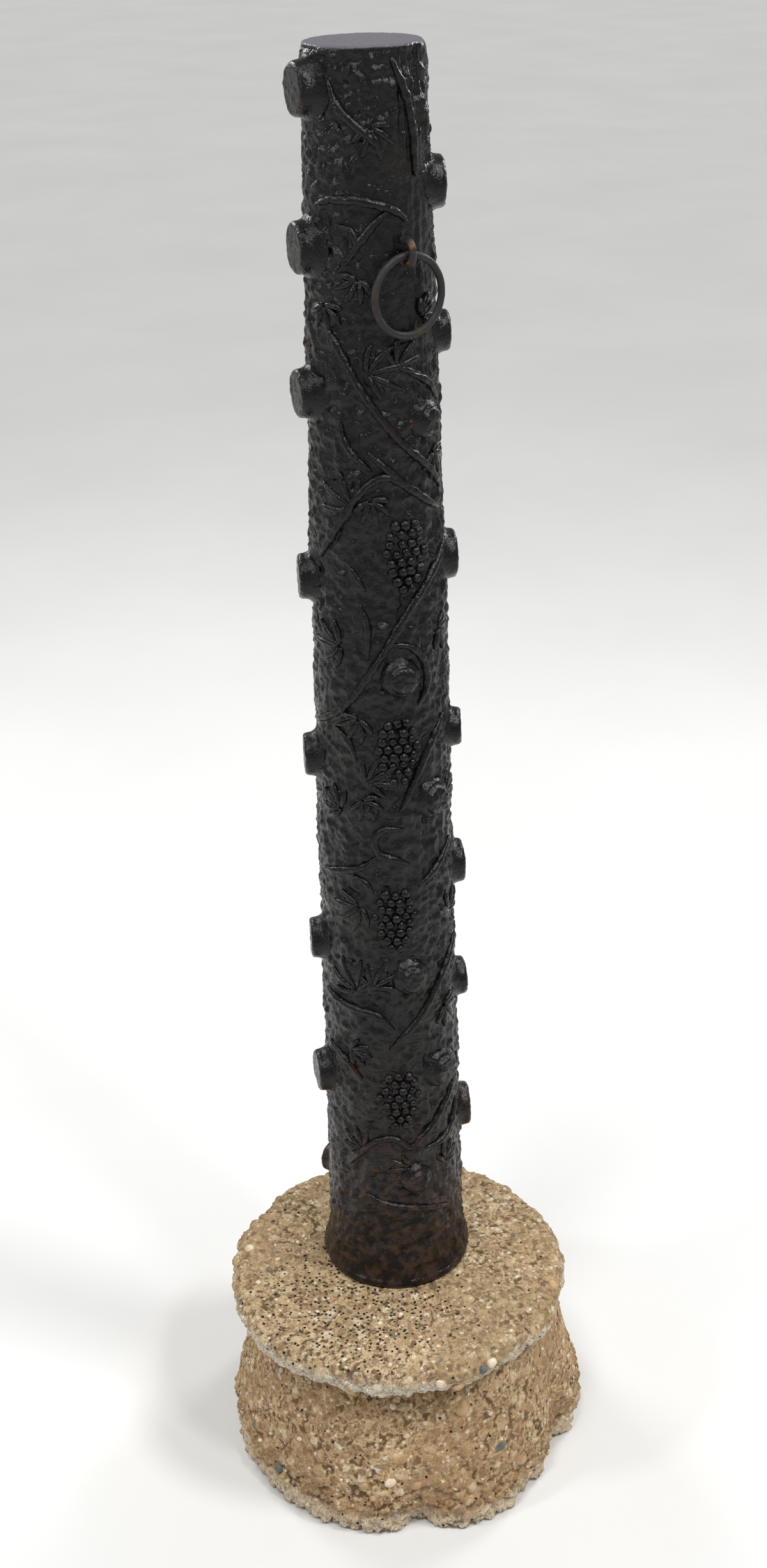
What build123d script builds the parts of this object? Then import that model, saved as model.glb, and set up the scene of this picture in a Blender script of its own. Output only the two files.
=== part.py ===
"""Tree-trunk hitching post: a hollow cast-iron trunk with sawn branch stubs, a bar staple set through
its wall, a ring that swings in the staple, and a rough footing poured round the buried root in two pours.

Frame: origin on the ground under the trunk's axis, +Z up, -Y towards the hitching ring. Millimetres and
degrees. An azimuth is counted from -Y towards +X. Trunk heights are counted from the slab's top.
"""

import math
import os

from build123d import *

os.makedirs("parts", exist_ok=True)

# Footing: a thin upper pour on a bulging lower one, both off the trunk's axis. A slope is (outward, up).
SLAB_RADIUS = 181.0
SLAB_THICKNESS = 36.0
SLAB_OFFSET = (-16.0, -25.5)
SLAB_EDGE_RADIUS = 8.0
LUMP_HEIGHT = 184.0
LUMP_OFFSET = (-4.0, -18.0)
LUMP_NECK_RADIUS = 152.0
LUMP_BELLY_RADIUS = 194.0
LUMP_BELLY_HEIGHT = 32.0
LUMP_FOOT_RADIUS = 182.0
LUMP_FOOT_SLOPE = (0.5, 1)
LUMP_NECK_SLOPE = (-0.25, 1)

# Trunk above the slab
TRUNK_HEIGHT = 1220.0
TRUNK_TOP_RADIUS = 49.4
TRUNK_FOOT_RADIUS = 70.0
TRUNK_SWELL = 1.0
BARK_STEPS = 5
TOP_EDGE_RADIUS = 4.0
WALL = 9.0
TOP_PLATE = 12.0
COLLAR_HEIGHT = 58.0
COLLAR_RADIUS = 76.0
LIP_RADIUS = 78.3
LIP_HEIGHT = 10.0

# Trunk below the slab's top, and what holds it there
ROOT_RADIUS = 62.0
ROOT_LENGTH = 160.0
ROOT_BAR_RADIUS = 6.0
ROOT_BAR_OVERHANG = 45.0
ROOT_BAR_DEPTHS = (80.0, 115.0)
ROOT_BAR_AZIMUTHS = (45.0, 135.0)

# Sawn branch stubs: each one's azimuth, share of the trunk's height, and radius
STUB_REACH = 12.0
STUB_EDGE_RADIUS = 3.0
STUB_WALL_SHARE = 0.9
STUBS = (
    (-100, 0.972, 22.0),
    (-102, 0.870, 22.0),
    (-104, 0.770, 21.0),
    (-116, 0.630, 20.0),
    (-117, 0.484, 20.0),
    (-117, 0.319, 20.0),
    (-109, 0.195, 21.0),
    (-148, 0.074, 15.0),
    (65, 0.907, 21.5),
    (65, 0.806, 17.5),
    (65, 0.640, 22.0),
    (58, 0.502, 18.0),
    (67, 0.379, 21.5),
    (67, 0.270, 19.0),
    (64, 0.143, 22.5),
    (18, 0.753, 15.5),
    (-14, 0.564, 16.5),
    (13, 0.459, 17.5),
    (-13, 0.307, 16.5),
    (15, 0.211, 19.0),
    (-13, 0.110, 15.0),
    (136, 0.930, 19.0),
    (170, 0.842, 17.0),
    (128, 0.722, 21.0),
    (178, 0.560, 18.0),
    (140, 0.430, 20.0),
    (168, 0.255, 21.0),
    (126, 0.130, 17.0),
)

# Hitch: a staple of round bar in an upright radial plane, with the ring hanging on its lower leg
HITCH_AZIMUTH = 0.0
HITCH_DROP = 159.0
STAPLE_BAR_RADIUS = 3.4
STAPLE_CORNER_RADIUS = 6.0
STAPLE_CLENCH = 18.0
RING_RADIUS = 32.7
RING_BAR_RADIUS = 3.3
RING_BARK_GAP = 1.2
EYE_PLAY = 4.4
EYE_CLEARANCE = 0.4


def outward(azimuth):
    """The level unit vector pointing out of the trunk at an azimuth."""
    turn = math.radians(azimuth)
    return Vector(math.sin(turn), -math.cos(turn), 0)


def upright(azimuth):
    """The upright plane through the trunk's axis at an azimuth, with X outward and Y up."""
    normal = outward(azimuth).cross(Vector(0, 0, 1))
    return Plane(origin=(0, 0, 0), x_dir=outward(azimuth), z_dir=normal)


def facing(azimuth, radius, height):
    """A plane at a radius and a height above the ground, with its normal outward and Y up."""
    normal = outward(azimuth)
    place = normal * radius + Vector(0, 0, height)
    return Plane(origin=place, x_dir=Vector(0, 0, 1).cross(normal), z_dir=normal)


def trunk_radius(height):
    """The bark's radius at a height above the slab: a taper that is fullest two thirds of the way up."""
    share = (height - COLLAR_HEIGHT) / (TRUNK_HEIGHT - COLLAR_HEIGHT)
    fullness = TRUNK_SWELL * share**2 * (1 - share)
    return TRUNK_FOOT_RADIUS + (TRUNK_TOP_RADIUS - TRUNK_FOOT_RADIUS) * (share - fullness)


# Heights above the ground
slab_top = LUMP_HEIGHT + SLAB_THICKNESS
trunk_top = slab_top + TRUNK_HEIGHT
core_top = trunk_top - TOP_PLATE
collar_top = slab_top + COLLAR_HEIGHT
root_bottom = slab_top - ROOT_LENGTH
core_radius = ROOT_RADIUS - WALL

# The bark's outline in short cones, and the core's inside it
bark_step = (TRUNK_HEIGHT - COLLAR_HEIGHT) / BARK_STEPS
bark_heights = [COLLAR_HEIGHT + bark_step * step for step in range(BARK_STEPS + 1)]
bark_line = [(trunk_radius(height), slab_top + height) for height in bark_heights]
core_line = [(radius - WALL, height) for radius, height in bark_line[:-1]]
core_line.append((TRUNK_TOP_RADIUS - WALL, core_top))

# The hitch: the ring clears the bark at its lowest point, and the staple's eye clears the ring's bar
hitch_height = TRUNK_HEIGHT - HITCH_DROP
leg_spacing = 2 * (STAPLE_BAR_RADIUS + RING_BAR_RADIUS) + EYE_PLAY
lower_leg = slab_top + hitch_height - leg_spacing / 2
upper_leg = lower_leg + leg_spacing
crown_height = lower_leg + STAPLE_BAR_RADIUS + EYE_CLEARANCE + RING_BAR_RADIUS
ring_radial = trunk_radius(hitch_height - 2 * RING_RADIUS) + RING_BARK_GAP + RING_BAR_RADIUS
eye_front = ring_radial + RING_BAR_RADIUS + EYE_CLEARANCE + STAPLE_BAR_RADIUS
clench_radial = trunk_radius(hitch_height) - WALL - STAPLE_CORNER_RADIUS - STAPLE_BAR_RADIUS

# The two bars through the root, crossing at different depths
root_bar_half = ROOT_RADIUS + ROOT_BAR_OVERHANG
root_bar_planes = [
    facing(azimuth, -root_bar_half, slab_top - depth)
    for azimuth, depth in zip(ROOT_BAR_AZIMUTHS, ROOT_BAR_DEPTHS)
]

# Root bars
root_bars = []
for number, plane in enumerate(root_bar_planes, start=1):
    with BuildPart() as root_bar:
        with BuildSketch(plane):
            Circle(ROOT_BAR_RADIUS)
        extrude(amount=2 * root_bar_half)
    root_bar.part.label = f"root_bar_{number}"
    export_step(root_bar.part, f"parts/root_bar_{number}.step")
    root_bars.append(root_bar.part)

# Staple: the eye outside, both legs through the wall, and their ends bent apart inside the hollow
with BuildPart() as hitching_staple:
    with BuildLine(upright(HITCH_AZIMUTH)) as staple_path:
        FilletPolyline(
            (clench_radial, lower_leg - STAPLE_CLENCH),
            (clench_radial, lower_leg),
            (eye_front, lower_leg),
            (eye_front, upper_leg),
            (clench_radial, upper_leg),
            (clench_radial, upper_leg + STAPLE_CLENCH),
            radius=STAPLE_CORNER_RADIUS,
        )
    with BuildSketch(Plane(origin=staple_path.line @ 0, z_dir=staple_path.line % 0)):
        Circle(STAPLE_BAR_RADIUS)
    sweep(path=staple_path.line)
hitching_staple.part.label = "hitching_staple"
export_step(hitching_staple.part, "parts/hitching_staple.step")

# Trunk casting: one hollow revolved wall for root, collar and shaft, with snug holes for the staple and
# the bars, and then its stubs
with BuildPart() as post_casting:
    with BuildSketch(Plane.XZ):
        with BuildLine():
            Polyline(
                core_line[0],
                (core_radius, slab_top),
                (core_radius, root_bottom),
                (ROOT_RADIUS, root_bottom),
                (ROOT_RADIUS, slab_top),
                (LIP_RADIUS, slab_top),
                (LIP_RADIUS, slab_top + LIP_HEIGHT),
                (COLLAR_RADIUS, slab_top + LIP_HEIGHT),
                bark_line[0],
            )
            Polyline(*bark_line)
            Polyline(bark_line[-1], (0, trunk_top), (0, core_top), core_line[-1])
            Polyline(*core_line)
        make_face()
    revolve(axis=Axis.Z)
    fillet(post_casting.edges().group_by(Axis.Z)[-1], TOP_EDGE_RADIUS)
    add(hitching_staple.part, mode=Mode.SUBTRACT)
    add(root_bars, mode=Mode.SUBTRACT)
    for azimuth, share, radius in STUBS:
        middle = slab_top + share * TRUNK_HEIGHT
        bark = trunk_radius(share * TRUNK_HEIGHT)
        sawn = bark + STUB_REACH
        buried = bark - STUB_WALL_SHARE * WALL
        with BuildSketch(upright(azimuth)):
            with BuildLine():
                Polyline(
                    (sawn, middle + radius - STUB_EDGE_RADIUS),
                    (sawn, middle),
                    (buried, middle),
                    (buried, middle + radius),
                    (sawn - STUB_EDGE_RADIUS, middle + radius),
                )
                TangentArc(
                    (sawn - STUB_EDGE_RADIUS, middle + radius),
                    (sawn, middle + radius - STUB_EDGE_RADIUS),
                    tangent=(1, 0),
                )
            make_face()
        revolve(axis=Axis((0, 0, middle), outward(azimuth)))
post_casting.part.label = "post_casting"
export_step(post_casting.part, "parts/post_casting.step")

# Ring: its crown lies in the staple's eye, just clear of the lower leg
with BuildPart() as hitching_ring:
    with BuildSketch(upright(HITCH_AZIMUTH)):
        with Locations((ring_radial, crown_height)):
            Circle(RING_BAR_RADIUS)
    revolve(axis=Axis((0, 0, crown_height - RING_RADIUS), outward(HITCH_AZIMUTH)))
hitching_ring.part.label = "hitching_ring"
export_step(hitching_ring.part, "parts/hitching_ring.step")

# Upper pour: a round-edged disc cast round the root
with BuildPart() as footing_slab:
    with BuildSketch(Plane.XY.offset(LUMP_HEIGHT)):
        with Locations(SLAB_OFFSET):
            Circle(SLAB_RADIUS)
        Circle(ROOT_RADIUS, mode=Mode.SUBTRACT)
    extrude(amount=SLAB_THICKNESS)
    rims = footing_slab.edges().filter_by(GeomType.CIRCLE)
    fillet(rims.filter_by(lambda rim: rim.radius > ROOT_RADIUS), SLAB_EDGE_RADIUS)
footing_slab.part.label = "footing_slab"
export_step(footing_slab.part, "parts/footing_slab.step")

# Lower pour: a lump that narrows from a wide foot to its neck, cast round the root and its bars
with BuildPart() as footing_lump:
    with BuildSketch(Plane.XZ.offset(-LUMP_OFFSET[1])):
        with BuildLine():
            Polyline(
                (LUMP_OFFSET[0], LUMP_HEIGHT),
                (LUMP_OFFSET[0], 0),
                (LUMP_OFFSET[0] + LUMP_FOOT_RADIUS, 0),
            )
            Spline(
                (LUMP_OFFSET[0] + LUMP_FOOT_RADIUS, 0),
                (LUMP_OFFSET[0] + LUMP_BELLY_RADIUS, LUMP_BELLY_HEIGHT),
                (LUMP_OFFSET[0] + LUMP_NECK_RADIUS, LUMP_HEIGHT),
                tangents=(LUMP_FOOT_SLOPE, LUMP_NECK_SLOPE),
            )
            Line((LUMP_OFFSET[0] + LUMP_NECK_RADIUS, LUMP_HEIGHT), (LUMP_OFFSET[0], LUMP_HEIGHT))
        make_face()
    revolve(axis=Axis((LUMP_OFFSET[0], LUMP_OFFSET[1], 0), (0, 0, 1)))
    with BuildSketch(Plane.XY.offset(root_bottom)):
        Circle(ROOT_RADIUS)
    extrude(amount=LUMP_HEIGHT - root_bottom, mode=Mode.SUBTRACT)
    add(root_bars, mode=Mode.SUBTRACT)
footing_lump.part.label = "footing_lump"
export_step(footing_lump.part, "parts/footing_lump.step")

# Fill: concrete that rose inside the root
with BuildPart() as root_fill:
    with BuildSketch(Plane.XY.offset(root_bottom)):
        Circle(core_radius)
    extrude(amount=slab_top - root_bottom)
    add(root_bars, mode=Mode.SUBTRACT)
root_fill.part.label = "root_fill"
export_step(root_fill.part, "parts/root_fill.step")
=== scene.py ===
"""Looks for the tree-trunk hitching post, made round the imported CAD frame. Metres; an azimuth is in degrees
from -Y towards +X, and a trunk height is counted from the top of the footing slab."""

import math
import random

import bpy
import numpy as np
from mathutils import Matrix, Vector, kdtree, noise


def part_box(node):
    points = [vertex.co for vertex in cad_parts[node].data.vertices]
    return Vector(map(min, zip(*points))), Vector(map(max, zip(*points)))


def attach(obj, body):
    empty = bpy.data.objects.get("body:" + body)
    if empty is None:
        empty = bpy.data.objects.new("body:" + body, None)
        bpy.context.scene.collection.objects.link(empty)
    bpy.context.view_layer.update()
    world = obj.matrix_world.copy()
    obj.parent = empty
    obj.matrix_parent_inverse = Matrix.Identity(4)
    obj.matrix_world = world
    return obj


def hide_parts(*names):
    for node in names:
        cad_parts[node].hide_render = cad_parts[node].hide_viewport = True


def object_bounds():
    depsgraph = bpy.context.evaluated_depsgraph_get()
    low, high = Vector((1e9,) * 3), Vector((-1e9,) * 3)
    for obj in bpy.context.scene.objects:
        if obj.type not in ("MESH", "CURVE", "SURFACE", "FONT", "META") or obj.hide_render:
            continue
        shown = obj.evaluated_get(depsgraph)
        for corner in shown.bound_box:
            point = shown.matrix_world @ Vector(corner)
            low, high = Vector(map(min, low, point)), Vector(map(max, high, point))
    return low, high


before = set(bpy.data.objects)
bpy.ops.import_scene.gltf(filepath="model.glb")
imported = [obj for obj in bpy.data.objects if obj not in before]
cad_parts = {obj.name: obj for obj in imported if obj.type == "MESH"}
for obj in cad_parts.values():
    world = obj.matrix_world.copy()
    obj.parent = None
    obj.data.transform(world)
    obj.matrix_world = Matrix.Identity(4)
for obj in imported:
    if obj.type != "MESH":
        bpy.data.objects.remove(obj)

cad_low, cad_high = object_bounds()

MM = 0.001
BOX_MARGIN = 0.0002
INNER_LOW = np.array(cad_low) + BOX_MARGIN
INNER_HIGH = np.array(cad_high) - BOX_MARGIN

# The trunk's lines, as the casting has them
SLAB_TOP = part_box("footing_slab")[1].z
SLAB_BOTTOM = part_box("footing_slab")[0].z
POST_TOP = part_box("post_casting")[1].z
ROOT_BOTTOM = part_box("post_casting")[0].z
TRUNK_HEIGHT = POST_TOP - SLAB_TOP
TOP_RADIUS = 0.0494
FOOT_RADIUS = 0.0700
COLLAR_HEIGHT = 0.058
COLLAR_RADIUS = 0.0758
LIP_RADIUS = 0.0780
LIP_HEIGHT = 0.010
LIP_NECK = 0.0008
ROOT_RADIUS = 0.062

# Relief on the trunk: the skin's grid, and how deep each kind of roughness goes
SKIN_COLUMNS = 240
SKIN_STEP = 0.00178
GRAIN_DEPTH = 0.0052
RIDGE_DEPTH = 0.0034
HOLLOW_DEPTH = 0.0020
LUMP_DEPTH = 0.0016
GRIT_DEPTH = 0.0009
KNOB_DEPTH = 0.0010
PIT_DEPTH = 0.0014
RELIEF_SINK = 0.0016
RELIEF_LIMIT = 0.0032
LIP_ROWS = 14
TOP_EDGE = 0.003

# The bark is calmer beside the decoration and under the hanging ring
DECORATION_CALM = 0.70
RING_CALM = 0.60
RING_SINK = 0.0004
RING_SIDE = (30, 46)
RING_FOOT = (0.965, 0.985)
RING_HEAD = (1.14, 1.16)

# Stubs stand this far out, and those this near the front are knots. The back repeats the front's decoration,
# turned in degrees and lifted in millimetres.
STUB_REACH = 0.0118
STUB_COLUMNS = 48
KNOT_SIDE = 25
BACK_TURN = 176
BACK_LIFT = -16

# Sawn stubs: azimuth, share of the trunk's height, radius
STUBS = (
    (-100, 0.972, 0.0220), (-102, 0.870, 0.0220), (-104, 0.770, 0.0210), (-116, 0.630, 0.0200),
    (-117, 0.484, 0.0200), (-117, 0.319, 0.0200), (-109, 0.195, 0.0210), (-148, 0.074, 0.0150),
    (65, 0.907, 0.0215), (65, 0.806, 0.0175), (65, 0.640, 0.0220), (58, 0.502, 0.0180),
    (67, 0.379, 0.0215), (67, 0.270, 0.0190), (64, 0.143, 0.0225), (18, 0.753, 0.0155),
    (-14, 0.564, 0.0165), (13, 0.459, 0.0175), (-13, 0.307, 0.0165), (15, 0.211, 0.0190),
    (-13, 0.110, 0.0150), (136, 0.930, 0.0190), (170, 0.842, 0.0170), (128, 0.722, 0.0210),
    (178, 0.560, 0.0180), (140, 0.430, 0.0200), (168, 0.255, 0.0210), (126, 0.130, 0.0170),
)

# Vines: each is a run of (azimuth, height in millimetres) points
VINES = (
    ((-78, 1006), (-61, 985), (-36, 941), (-7, 902), (20, 876), (40, 852)),
    ((-61, 925), (-58, 909), (-50, 895), (-34, 880)),
    ((-38, 898), (-12, 872), (12, 851), (34, 836)),
    ((-52, 1052), (-39, 1071), (-24, 1087), (-12, 1096)),
    ((-84, 1098), (-62, 1104), (-38, 1103), (-12, 1096), (6, 1084)),
    ((-1, 963), (22, 950), (40, 930)),
    ((-88, 796), (-63, 833), (-48, 857), (-33, 872), (-19, 874), (-1, 861), (12, 849)),
    ((48, 806), (18, 779), (-8, 749), (-32, 709), (-58, 667), (-79, 647), (-104, 632)),
    ((-55, 794), (-42, 772)),
    ((-48, 761), (-42, 740), (-42, 708)),
    ((-24, 722), (-5, 716), (8, 698), (10, 677), (0, 659)),
    ((30, 640), (8, 611), (-9, 575), (-19, 554)),
    ((-74, 638), (-61, 625), (-54, 606)),
    ((-16, 537), (-33, 538), (-41, 526), (-37, 512), (-24, 506), (-12, 499)),
    ((-99, 480), (-70, 489), (-51, 498), (-37, 510)),
    ((-60, 487), (-49, 480), (-43, 469)),
    ((38, 508), (14, 486), (-5, 472)),
    ((44, 396), (17, 363), (-6, 327), (-22, 308), (-33, 294)),
    ((-99, 345), (-79, 340), (-58, 337), (-42, 333), (-29, 317)),
    ((-96, 284), (-74, 274), (-58, 256)),
    ((-73, 146), (-61, 166), (-49, 182), (-32, 188), (-18, 175), (-9, 183), (5, 197), (24, 222), (44, 256)),
    ((-5, 170), (12, 171), (26, 182), (38, 206)),
    ((-57, 116), (-43, 107), (-20, 100), (20, 84)),
    ((-66, 1196), (-56, 1174), (-34, 1156), (-16, 1140)),
    ((-6, 1210), (8, 1180), (15, 1150), (16, 1118)),
    ((-60, 1084), (-47, 1080), (-42, 1068), (-52, 1056)),
)
SHOOT_RADIUS = 0.0036
SHOOT_LIFT = 0.0008
SKIRT_RISE = 0.0003
SKIRT_START = 0.0020
SKIRT_REACH = 0.0080

# The ring's weld, the staple's own sizes, and the lump's notch, waist, step and slanting crease, in radians
WELD_RISE = 0.00018
WELD_TURN = 4.4
WELD_WIDTH = 0.10
STAPLE_LEG_SPACING = 0.0178
STAPLE_CORNER_RADIUS = 0.006
CORNER_TURNS = [math.radians(degrees) for degrees in range(0, 91, 15)]
NOTCH_TURN = math.radians(331)
WAIST_TURN = math.radians(34)
CREASE_TURN = math.radians(345)
NOTCH_DEPTH = 0.019
WAIST_DEPTH = 0.014
STEP_DEPTH = 0.009
CREASE_LEVEL = 0.09
CREASE_DEPTH = 0.006

# The stones that stand out: a place close to each, and its radius before PLACED_SHARE
PALE_PLACES = (
    ((-0.079, -0.197, 0.206), 0.0062), ((-0.017, -0.207, 0.206), 0.0080), ((-0.115, -0.164, 0.068), 0.0085),
    ((-0.139, 0.079, 0.220), 0.0080), ((-0.112, -0.160, 0.160), 0.0055), ((-0.146, -0.112, 0.100), 0.0070),
    ((0.130, -0.090, 0.070), 0.0080),
)
TAN_PLACES = (
    ((-0.124, 0.041, 0.220), 0.0075), ((0.099, -0.152, 0.218), 0.0090), ((-0.156, -0.140, 0.190), 0.0090),
    ((-0.057, -0.202, 0.190), 0.0100), ((-0.038, -0.178, 0.142), 0.0130), ((-0.104, -0.163, 0.097), 0.0110),
    ((-0.090, -0.175, 0.060), 0.0110), ((-0.130, -0.150, 0.050), 0.0090), ((0.020, -0.200, 0.060), 0.0100),
)
DARK_PLACES = (
    ((-0.031, -0.206, 0.210), 0.0072), ((-0.082, -0.120, 0.219), 0.0068), ((-0.004, -0.197, 0.086), 0.0085),
    ((-0.191, -0.058, 0.041), 0.0070), ((0.105, -0.140, 0.135), 0.0045), ((-0.010, -0.190, 0.218), 0.0050),
)
PLACED_SHARE = 0.75
SLAB_FACETS = 9
POUR_COLUMNS = 620
SLAB_STEP = 0.0022
LUMP_STEP = 0.0024
BIG_STONES = 88
SMALL_STONES = 190

# Leaves: azimuth, height in millimetres, size in millimetres, the way the tip points, in degrees from up
LEAVES = (
    (-22, 966, 24, 80), (-4, 976, 17, 40), (-62, 855, 24, -60), (-34, 846, 16, 165), (-78, 718, 23, -90),
    (-56, 640, 18, -150), (-36, 592, 20, 60), (-66, 372, 25, -30), (-42, 376, 18, 20), (-66, 178, 18, -60),
    (-46, 560, 16, 150), (34, 720, 18, 120), (38, 560, 17, 60), (-46, 1034, 15, -150), (26, 320, 18, 140),
    (-24, 1150, 17, 160), (-64, 446, 22, -130), (36, 440, 19, 20), (-72, 1010, 16, 170), (-60, 286, 15, 100),
    (26, 1010, 15, 60), (30, 880, 17, 150), (20, 150, 16, 30), (-26, 150, 15, -100), (-78, 560, 18, -60),
)
LEAF_RISE = 0.0016
LEAF_STALK = 0.55
FINGERS = 5
FINGER_POINTS = 14
FINGER_FAN = math.radians(150)
FINGER_BEND = math.radians(55)
FINGER_RADIUS = 0.0027
FINGER_LIFT = 0.0008

# Grape clusters: azimuth and height of the middle, in millimetres
CLUSTERS = ((-7, 801), (-19, 615), (-25, 439), (-26, 232))
CLUSTER_ROWS = (3, 4, 4, 5, 4, 4, 3, 2)
GRAPE_RADIUS = 0.0047
GRAPE_PITCH = 0.0092


def mesh_object(name, points, faces, smooth=True):
    """A mesh object from points and faces."""
    mesh = bpy.data.meshes.new(name)
    mesh.from_pydata([tuple(point) for point in points], [], faces)
    mesh.validate()
    mesh.update()
    if smooth:
        mesh.shade_smooth()
    made = bpy.data.objects.new(name, mesh)
    bpy.context.scene.collection.objects.link(made)
    return made


def join_parts(parts):
    """One point array and one face list from several."""
    points, faces, start = [], [], 0
    for part_points, part_faces in parts:
        points.append(np.asarray(part_points))
        faces.extend([tuple(index + start for index in face) for face in part_faces])
        start += len(part_points)
    return np.concatenate(points), faces


def grid_faces(rows, columns, closed=False):
    """Quads of a grid whose columns run round, and whose rows do too when it is closed."""
    faces = []
    for row in range(rows if closed else rows - 1):
        low, high = row * columns, (row + 1) % rows * columns
        for column in range(columns):
            after = (column + 1) % columns
            faces.append((low + column, low + after, high + after, high + column))
    return faces


def end_faces(count, columns):
    """The two many-sided faces that close the first and last rings of a grid."""
    return [tuple(reversed(range(columns))), tuple(range(count - columns, count))]


def noise_at(points, scale, seed):
    """Smooth noise at many points; scale is a number or one for each axis, in features per metre."""
    moved = np.asarray(points) * scale + seed * np.array((11.3, 7.7, 5.1))
    return np.array([noise.noise(place) for place in moved.tolist()])


def noise_round(turn, scale, level):
    """Smooth noise on a circle; scale is the circle's radius in features."""
    places = zip(np.cos(turn) * scale, np.sin(turn) * scale)
    return np.array([noise.noise((across, along, level)) for across, along in places])


def pebbly_at(points, scale, seed):
    """Rounded bumps like close-packed pebbles, 1 in a pebble's middle and 0 between, and each one's tint."""
    moved = np.asarray(points) * scale + seed * np.array((3.1, 9.7, 6.3))
    found = [noise.voronoi(place) for place in moved.tolist()]
    nearest = np.array([distances[0] for distances, _ in found])
    tints = np.array([noise.cell(middles[0] * 37.0) for _, middles in found])
    return np.sqrt(np.maximum(1 - (nearest / 0.62) ** 2, 0)), tints


def smoothstep(low, high, values):
    """0 below low, 1 above high, smooth between."""
    share = np.clip((values - low) / (high - low), 0, 1)
    return share * share * (3 - 2 * share)


def hump(values, width):
    """1 at zero, falling smoothly to 0 on both sides."""
    return np.exp(-((values / width) ** 2))


def around(turn, radius, level):
    """Points about the trunk's axis, at turns in radians from -Y towards +X."""
    level = np.broadcast_to(level, np.shape(turn))
    return np.stack([radius * np.sin(turn), -radius * np.cos(turn), level], axis=-1)


def bark_radius(height):
    """The bark's nominal radius at a height above the slab, collar and lip included."""
    height = np.asarray(height, float)
    share = (height - COLLAR_HEIGHT) / (TRUNK_HEIGHT - COLLAR_HEIGHT)
    taper = FOOT_RADIUS + (TOP_RADIUS - FOOT_RADIUS) * (share - share**2 * (1 - share))
    flare = np.clip((COLLAR_HEIGHT - height) / (COLLAR_HEIGHT - LIP_HEIGHT), 0, 1)
    collar = FOOT_RADIUS + (COLLAR_RADIUS - FOOT_RADIUS) * flare**1.6
    bead = np.clip(1 - ((height - LIP_HEIGHT / 2) / (LIP_HEIGHT / 2)) ** 2, 0, 1)
    lip = COLLAR_RADIUS - LIP_NECK + (LIP_RADIUS - COLLAR_RADIUS + LIP_NECK) * np.sqrt(bead)
    radius = np.where(height < COLLAR_HEIGHT, collar, taper)
    return np.where(height < LIP_HEIGHT, lip, radius)


def on_bark(azimuth, height, proud=0.0):
    """Points on the bark at azimuths in degrees and heights in metres, standing proud of it."""
    return around(np.radians(azimuth), bark_radius(height) + proud, SLAB_TOP + np.asarray(height))


def bark_relief(azimuth, points):
    """How far the bark stands in or out: grain, ridges, hollows and casting pits."""
    grain_share = 0.10 + 0.90 * smoothstep(0.15, 0.75, np.cos(np.radians(azimuth - 62)))
    grain = (0.40 - np.abs(noise_at(points, (150, 150, 7), 1))) * GRAIN_DEPTH * grain_share
    hollows = noise_at(points, (34, 34, 22), 2) * HOLLOW_DEPTH
    ridges = (0.35 - np.abs(noise_at(points, (75, 75, 50), 5))) * RIDGE_DEPTH
    lumps = noise_at(points, 110, 3) * LUMP_DEPTH + noise_at(points, 230, 6) * GRIT_DEPTH
    knobs = KNOB_DEPTH * pebbly_at(points, 115, 7)[0]
    pits = -PIT_DEPTH * smoothstep(0.24, 0.55, noise_at(points, 180, 4))
    return grain + hollows + ridges + lumps + knobs + pits - RELIEF_SINK


def near_ring(azimuth, height):
    """1 on the bark that the hanging ring lies over, 0 elsewhere."""
    side = np.abs((azimuth + 180) % 360 - 180)
    level = smoothstep(*RING_FOOT, height) * (1 - smoothstep(*RING_HEAD, height))
    return (1 - smoothstep(*RING_SIDE, side)) * level


def near_decoration(points):
    """1 beside the shoots, leaves and grapes cast on the bark, falling to 0 a little way off."""
    tree = decoration_tree()
    away = np.array([tree.find(place)[2] for place in points.tolist()])
    return 1 - smoothstep(SKIRT_START, SKIRT_REACH, away)


def decoration_tree():
    """Places on all the raised decoration, to find the nearest one to a spot on the bark."""
    lines = [line for line, _ in (*shoot_lines(), *finger_lines())]
    places = np.concatenate([*lines, grape_places()])
    tree = kdtree.KDTree(len(places))
    for index, place in enumerate(places.tolist()):
        tree.insert(place, index)
    tree.balance()
    return tree


def trunk_skin():
    """The trunk's bark from the lip at the slab up to the sawn top, closed by its root."""
    rows = int(TRUNK_HEIGHT / SKIN_STEP)
    lip_rows = np.linspace(0, LIP_HEIGHT, LIP_ROWS)
    bark_rows = np.linspace(LIP_HEIGHT + SKIN_STEP, TRUNK_HEIGHT - TOP_EDGE, rows)
    heights = np.concatenate([lip_rows, bark_rows])
    azimuths = np.arange(SKIN_COLUMNS) * 360 / SKIN_COLUMNS
    azimuth, height = (grid.ravel() for grid in np.meshgrid(azimuths, heights))
    skin = on_bark(azimuth, height)
    near = near_decoration(skin)
    relief = bark_relief(azimuth, skin) * (1 - DECORATION_CALM * near) + SKIRT_RISE * near
    above_lip = smoothstep(LIP_HEIGHT, LIP_HEIGHT + 0.004, height)
    relief *= 0.35 + 0.50 * above_lip + 0.15 * smoothstep(0.03, 0.10, height)
    under_ring = near_ring(azimuth, height)
    relief = relief * (1 - RING_CALM * under_ring) - RING_SINK * under_ring
    skin = on_bark(azimuth, height, np.minimum(relief, RELIEF_LIMIT * (1 - 0.875 * under_ring)))
    top = sawn_top(azimuths)
    root = root_rings(azimuths)
    points = np.concatenate([root, skin, top])
    total_rows = len(points) // SKIN_COLUMNS
    return points, grid_faces(total_rows, SKIN_COLUMNS) + end_faces(len(points), SKIN_COLUMNS)


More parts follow.
